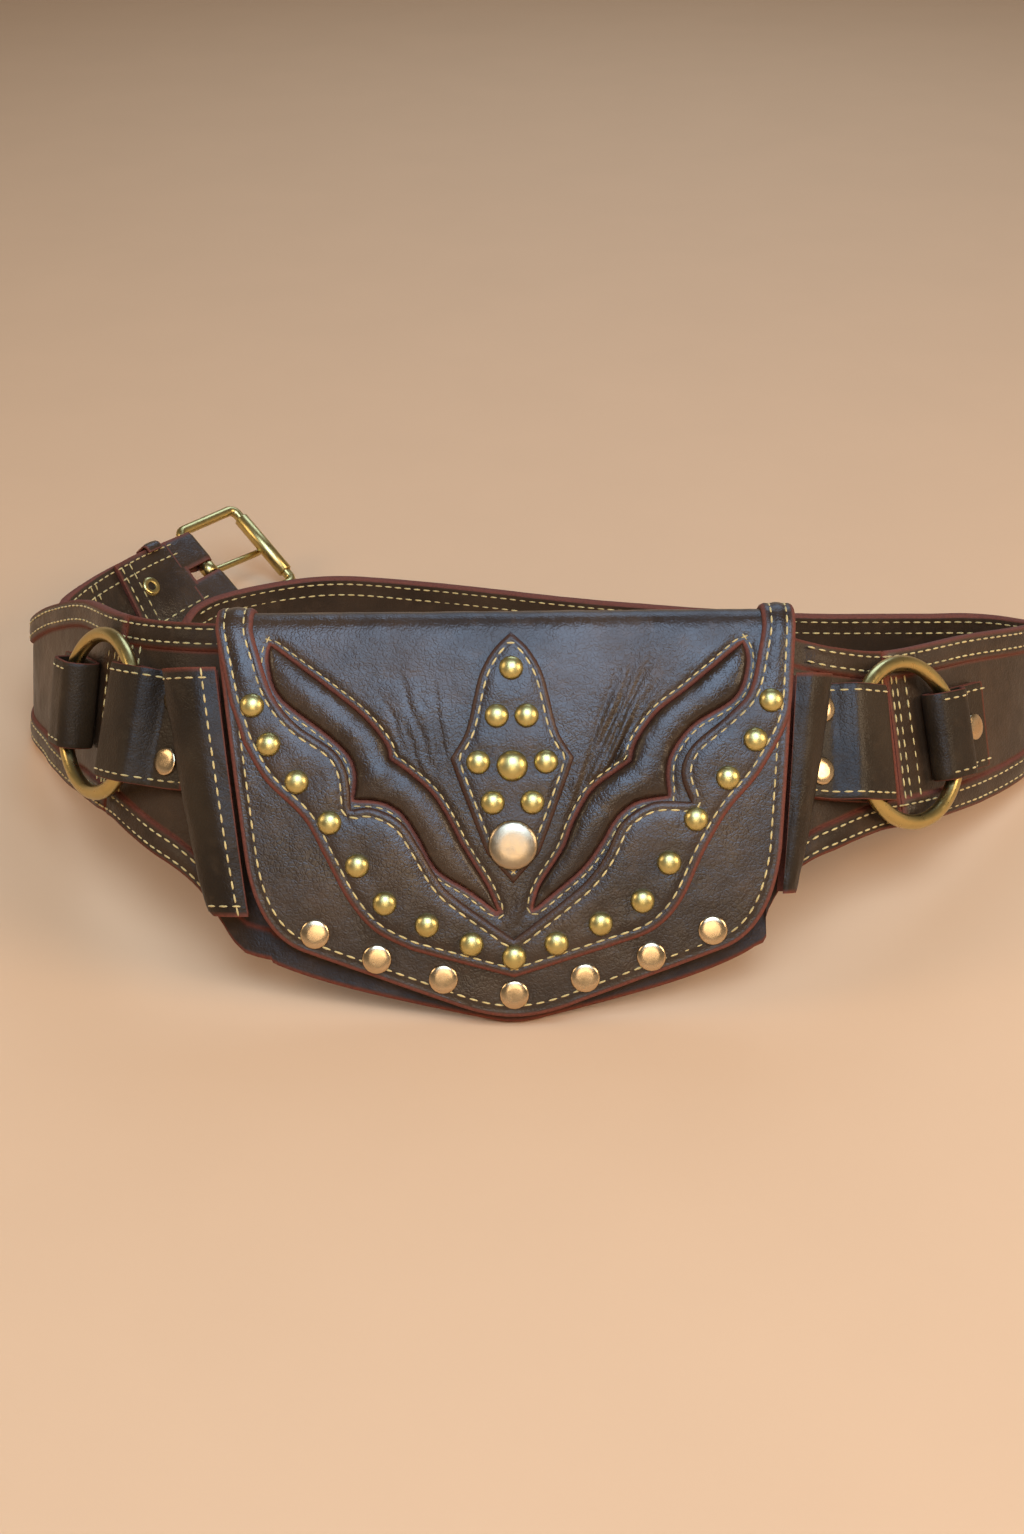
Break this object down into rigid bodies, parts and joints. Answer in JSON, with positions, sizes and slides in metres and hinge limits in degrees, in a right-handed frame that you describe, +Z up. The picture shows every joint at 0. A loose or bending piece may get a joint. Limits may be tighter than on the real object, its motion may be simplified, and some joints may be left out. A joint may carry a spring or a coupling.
{
  "type": "leather utility belt",
  "caption": "Leather hip belt with a studded flap pouch, metal rings on riveted tabs and a roller buckle, lying open on its lower edge.",
  "frame": {"origin": "middle of the belt's box, on the surface that it lies on", "axes": "+X to the pouch's right as seen from the front, +Y from the pouch to the back of the waist, +Z up"},
  "size_m": [0.4228, 0.3536, 0.1204],
  "materials": {
    "dark_leather": "semi-gloss, fine grain",
    "brown_leather": "satin, fine grain",
    "stud_brass": "polished antique",
    "pale_brass": "polished",
    "ring_brass": "antique satin"
  },
  "bodies": {
    "belt": {"border_rivet_1_left": "pale_brass", "border_rivet_1_right": "pale_brass", "border_rivet_2_left": "pale_brass", "border_rivet_2_right": "pale_brass", "border_rivet_3_left": "pale_brass", "border_rivet_3_right": "pale_brass", "border_rivet_4": "pale_brass", "diamond_patch": "dark_leather", "flap": "dark_leather", "gusset_left": "brown_leather", "gusset_right": "brown_leather", "hip_panel": "dark_leather", "keeper": "dark_leather", "patch_dome": "stud_brass", "patch_stud_1": "stud_brass", "patch_stud_2_left": "stud_brass", "patch_stud_2_right": "stud_brass", "patch_stud_3_left": "stud_brass", "patch_stud_3_right": "stud_brass", "patch_stud_4_left": "stud_brass", "patch_stud_4_right": "stud_brass", "pouch_front": "brown_leather", "ring_left": "ring_brass", "ring_right": "ring_brass", "snap_cap": "pale_brass", "strap_left": "dark_leather", "strap_right": "dark_leather", "tab_left_inner": "brown_leather", "tab_left_outer": "brown_leather", "tab_right_inner": "brown_leather", "tab_right_outer": "brown_leather", "tab_rivet_left_inner_1": "pale_brass", "tab_rivet_left_inner_2": "pale_brass", "tab_rivet_left_outer_1": "pale_brass", "tab_rivet_right_inner_1": "pale_brass", "tab_rivet_right_inner_2": "pale_brass", "tab_rivet_right_outer_1": "pale_brass", "wing_pad_left": "dark_leather", "wing_pad_right": "dark_leather", "yoke": "dark_leather", "yoke_stud_1_left": "stud_brass", "yoke_stud_1_right": "stud_brass", "yoke_stud_2_left": "stud_brass", "yoke_stud_2_right": "stud_brass", "yoke_stud_3_left": "stud_brass", "yoke_stud_3_right": "stud_brass", "yoke_stud_4_left": "stud_brass", "yoke_stud_4_right": "stud_brass", "yoke_stud_5_left": "stud_brass", "yoke_stud_5_right": "stud_brass", "yoke_stud_6_left": "stud_brass", "yoke_stud_6_right": "stud_brass", "yoke_stud_7_left": "stud_brass", "yoke_stud_7_right": "stud_brass", "yoke_stud_8_left": "stud_brass", "yoke_stud_8_right": "stud_brass", "yoke_stud_9": "stud_brass"},
    "frame": {"buckle_frame": "ring_brass"},
    "prong": {"buckle_prong": "ring_brass"},
    "roller": {"buckle_roller": "ring_brass"}
  },
  "joints": [
    {"name": "frame_swing", "type": "hinge", "parent": "belt", "child": "frame", "pos_m": [-0.14959, 0.13583, 0.01928], "axis": [-0.634, 0.5221, 0.5705], "range_deg": [-120, 0]},
    {"name": "prong_lift", "type": "hinge", "parent": "frame", "child": "prong", "pos_m": [-0.14959, 0.13583, 0.01928], "axis": [-0.634, 0.5221, 0.5705], "range_deg": [0, 80]},
    {"name": "roller_spin", "type": "hinge", "parent": "frame", "child": "roller", "pos_m": [-0.12732, 0.16409, 0.01817], "axis": [-0.634, 0.5221, 0.5705], "continuous": true}
  ]
}
